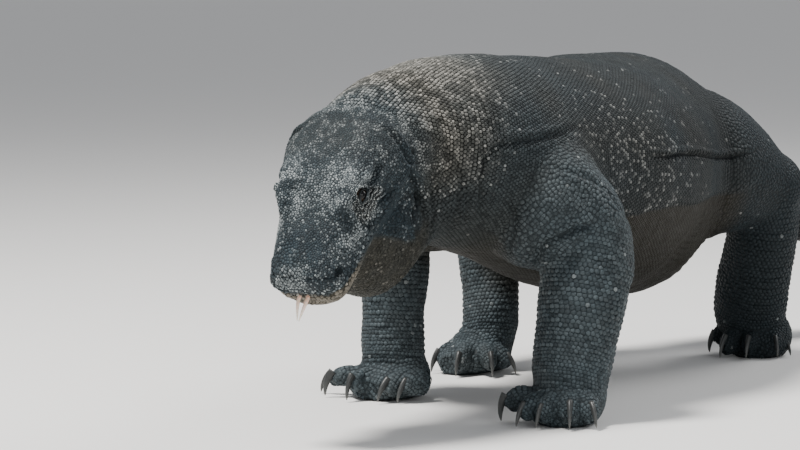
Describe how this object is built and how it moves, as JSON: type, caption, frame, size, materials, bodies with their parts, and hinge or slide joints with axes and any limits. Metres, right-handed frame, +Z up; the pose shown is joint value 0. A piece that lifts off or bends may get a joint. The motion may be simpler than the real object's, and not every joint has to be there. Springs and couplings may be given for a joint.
{
  "type": "komodo dragon",
  "caption": "Life-size Komodo dragon standing in mid-stride, head lowered, forked tongue out, tail trailing to the floor.",
  "frame": {"origin": "middle of the part's box, on the floor under the trunk", "axes": "+X towards the nose along the body, +Y to the animal's left, +Z up"},
  "size_m": [2.4082, 0.6674, 0.4746],
  "materials": {
    "head_skin": "fine beaded scales, dark slate grey with pale specks",
    "body_skin": "bead-like scales in close rows, dark brown-grey",
    "throat_skin": "fine loose skin, olive brown",
    "leg_skin": "cross rows of broad scales, dark grey",
    "claw_horn": "dark horn, worn and slightly glossy",
    "eye_gloss": "wet, dark brown",
    "tongue_flesh": "moist, pale pink"
  },
  "bodies": {
    "root": {"head": "head_skin", "lower_jaw": "head_skin", "tongue": "tongue_flesh", "eye_left": "eye_gloss", "eye_right": "eye_gloss", "neck": "body_skin", "throat": "throat_skin", "trunk": "body_skin", "tail_base": "body_skin", "tail_middle": "body_skin", "tail_end": "body_skin", "upper_arm_left": "leg_skin", "forearm_left": "leg_skin", "forefoot_left": "leg_skin", "forefoot_left_claw_1": "claw_horn", "forefoot_left_claw_2": "claw_horn", "forefoot_left_claw_3": "claw_horn", "forefoot_left_claw_4": "claw_horn", "forefoot_left_claw_5": "claw_horn", "upper_arm_right": "leg_skin", "forearm_right": "leg_skin", "forefoot_right": "leg_skin", "forefoot_right_claw_1": "claw_horn", "forefoot_right_claw_2": "claw_horn", "forefoot_right_claw_3": "claw_horn", "forefoot_right_claw_4": "claw_horn", "forefoot_right_claw_5": "claw_horn", "thigh_left": "leg_skin", "shank_left": "leg_skin", "hindfoot_left": "leg_skin", "hindfoot_left_claw_1": "claw_horn", "hindfoot_left_claw_2": "claw_horn", "hindfoot_left_claw_3": "claw_horn", "hindfoot_left_claw_4": "claw_horn", "hindfoot_left_claw_5": "claw_horn", "thigh_right": "leg_skin", "shank_right": "leg_skin", "hindfoot_right": "leg_skin", "hindfoot_right_claw_1": "claw_horn", "hindfoot_right_claw_2": "claw_horn", "hindfoot_right_claw_3": "claw_horn", "hindfoot_right_claw_4": "claw_horn", "hindfoot_right_claw_5": "claw_horn"}
  },
  "joints": []
}
